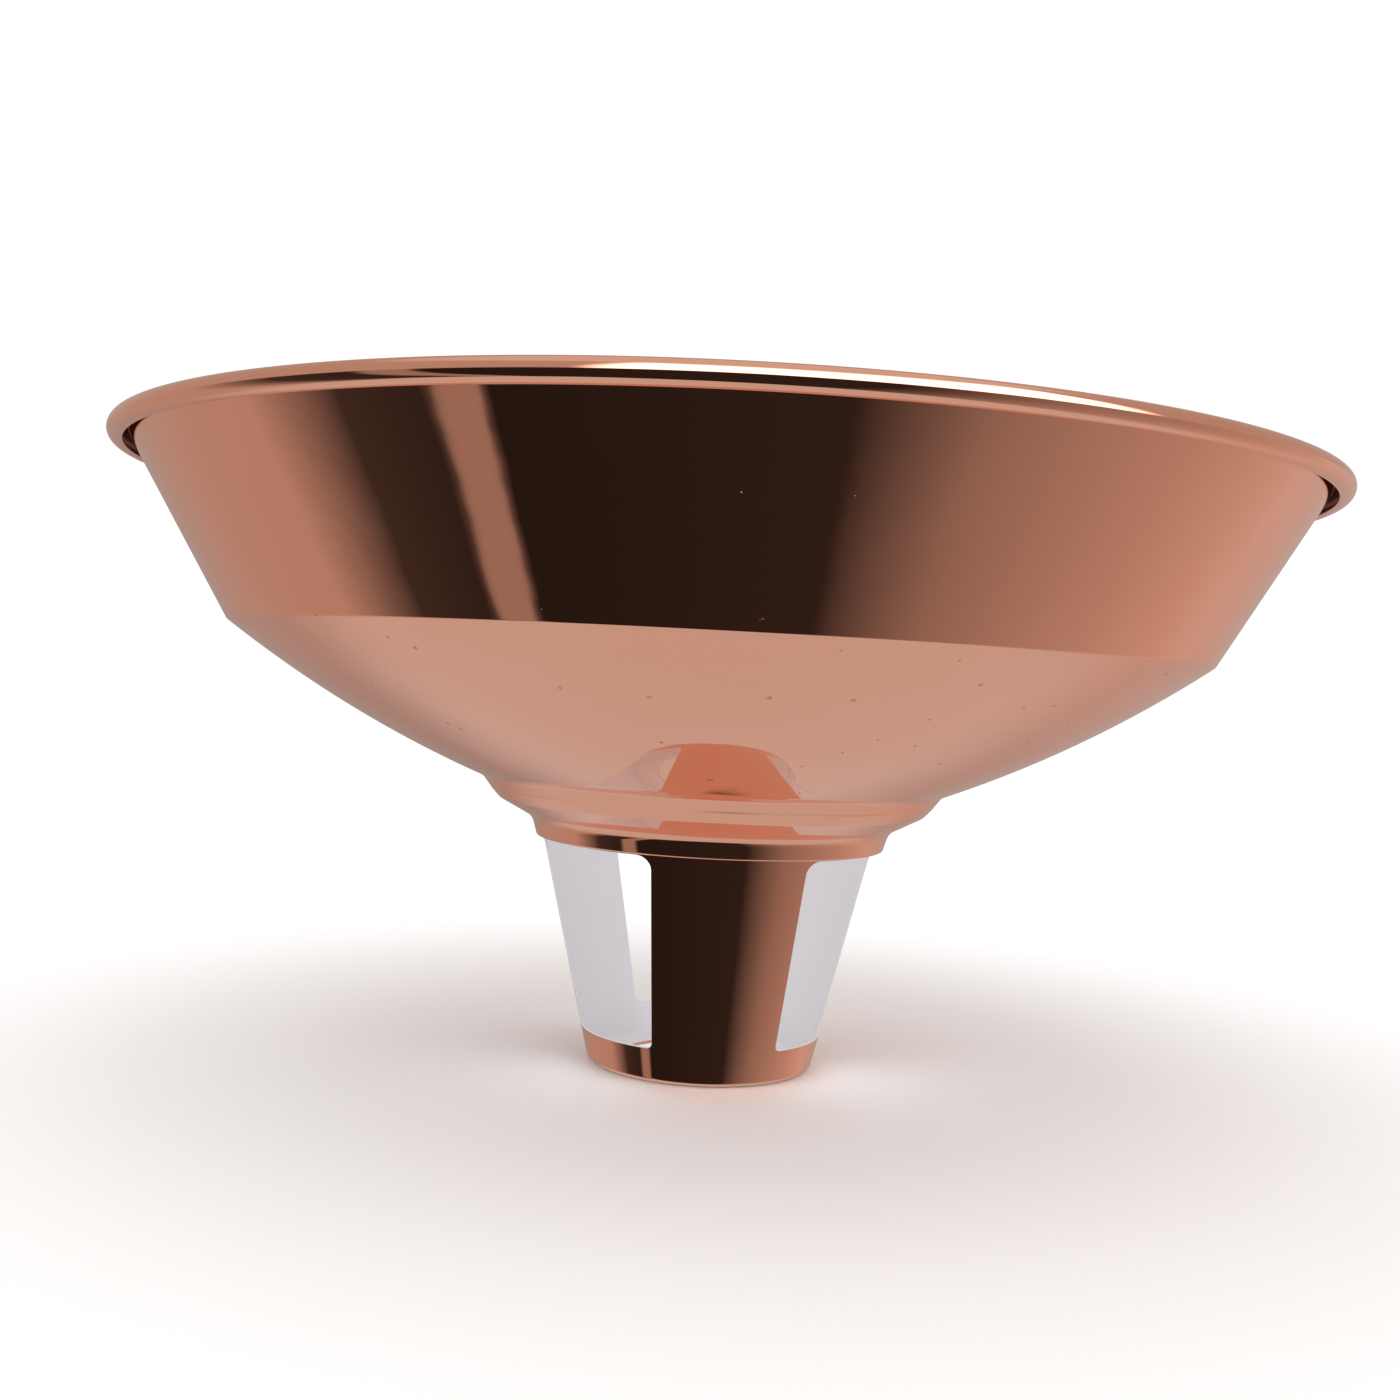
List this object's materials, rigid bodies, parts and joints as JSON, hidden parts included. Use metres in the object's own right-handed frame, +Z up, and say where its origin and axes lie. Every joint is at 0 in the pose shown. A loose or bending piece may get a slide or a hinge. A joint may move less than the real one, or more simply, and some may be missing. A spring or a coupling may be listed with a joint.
{
  "type": "pendant lampshade",
  "caption": "Round pendant lampshade, mouth up: straight-walled spun reflector with a shallow dome and rolled hem, on a vented conical neck with a flat end plate.",
  "frame": {"origin": "centre of the neck's end face, on the plane it stands on", "axes": "+Z up along the shade's axis and out of its mouth, which points down when the shade hangs; -Y points out through the middle of the neck's front strip; +X to the right of it"},
  "size_m": [0.31, 0.31, 0.1555],
  "materials": {
    "plated_body": "mirror-bright copper electroplate on steel outside and over the rolled hem, gloss white enamel inside",
    "plated_neck": "mirror-bright copper electroplate on steel outside, gloss white enamel inside"
  },
  "bodies": {
    "root": {"shade_body": "plated_body", "neck_gallery": "plated_neck"}
  },
  "joints": []
}
